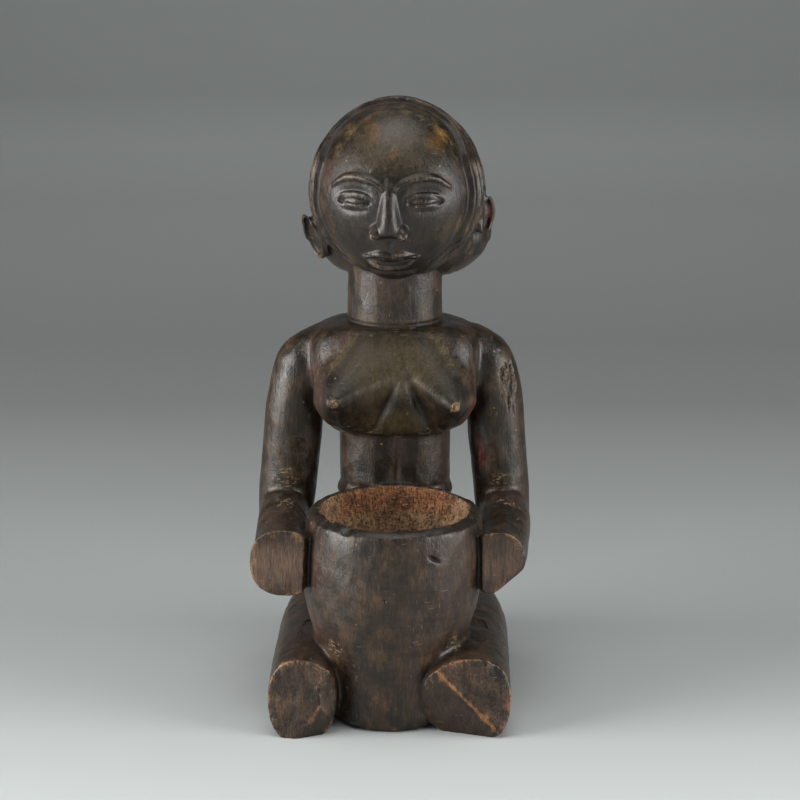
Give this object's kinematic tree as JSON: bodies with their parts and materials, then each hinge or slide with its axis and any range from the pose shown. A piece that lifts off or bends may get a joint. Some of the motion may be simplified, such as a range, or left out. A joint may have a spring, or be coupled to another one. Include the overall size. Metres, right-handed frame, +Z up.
{
  "type": "bowl bearer figure",
  "caption": "Carved wooden kneeling woman with a bowl held before her, dark worn patina, cut from a solid block",
  "frame": {"origin": "on the ground, under the middle of the carving's bounding box", "axes": "+Z up along the figure, -Y the way the figure faces, +X to the figure's left hand"},
  "size_m": [0.1906, 0.2247, 0.3999],
  "materials": {
    "dark_wood": "oiled"
  },
  "bodies": {
    "root": {"bowl_bearer": "dark_wood"}
  },
  "joints": []
}
